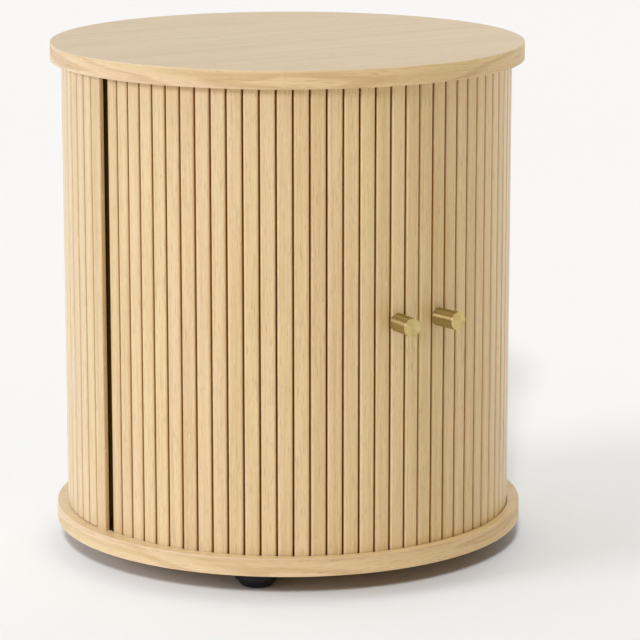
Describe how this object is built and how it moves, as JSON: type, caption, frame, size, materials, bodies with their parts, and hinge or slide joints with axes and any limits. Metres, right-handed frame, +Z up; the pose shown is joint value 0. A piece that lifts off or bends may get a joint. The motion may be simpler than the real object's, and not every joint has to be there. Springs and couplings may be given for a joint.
{
  "type": "nightstand",
  "caption": "Round nightstand with a disc top and base, a fixed slatted back and curved tambour doors that slide round behind it, with cylindrical brass knobs and short tapered feet.",
  "frame": {"origin": "on the floor, on the upright axis that both doors turn about, which is within a few millimetres of the centre of the footprint", "axes": "+Z up; the front, where the doors meet, faces -Y; +X to the right of someone who faces the front"},
  "size_m": [0.4499, 0.4671, 0.489],
  "materials": {
    "oak_veneer": "matt lacquered oak veneer on board",
    "oak_edge": "matt lacquered oak edge strip, grain along the strip",
    "oak_slat": "matt lacquered oak slat, upright grain",
    "plywood": "bent plywood with oak face veneer",
    "beech": "plain turned beech",
    "canvas": "brown cotton canvas",
    "satin_brass": "satin turned brass",
    "black_plastic": "matt black moulded plastic",
    "zinc": "zinc-plated steel"
  },
  "bodies": {
    "carcass": {"top_panel": "oak_veneer", "top_edge_band": "oak_edge", "base_panel": "oak_veneer", "base_edge_band": "oak_edge", "back_shell": "plywood", "back_slats": "oak_slat", "left_jamb_slat": "oak_slat", "right_jamb_slat": "oak_slat", "inner_drum": "plywood", "left_drum_edge": "oak_edge", "right_drum_edge": "oak_edge", "shelf": "oak_veneer", "shelf_edge_band": "oak_edge", "shelf_pins": "zinc", "top_dowels": "beech", "base_screws": "zinc", "front_left_foot": "black_plastic", "front_right_foot": "black_plastic", "rear_left_foot": "black_plastic", "rear_right_foot": "black_plastic", "foot_screws": "zinc"},
    "left_door": {"left_door_slats": "oak_slat", "left_lead_slat": "oak_slat", "left_knob_slat": "oak_slat", "left_door_canvas": "canvas", "left_knob": "satin_brass", "left_knob_screw": "zinc"},
    "right_door": {"right_door_slats": "oak_slat", "right_lead_slat": "oak_slat", "right_knob_slat": "oak_slat", "right_door_canvas": "canvas", "right_knob": "satin_brass", "right_knob_screw": "zinc"}
  },
  "joints": [
    {"name": "left_door_slide", "type": "hinge", "parent": "carcass", "child": "left_door", "pos_m": [0, 0, 0.25], "axis": [0, 0, -1], "range_deg": [0, 79]},
    {"name": "right_door_slide", "type": "hinge", "parent": "carcass", "child": "right_door", "pos_m": [0, 0, 0.25], "axis": [0, 0, 1], "range_deg": [0, 79]}
  ]
}
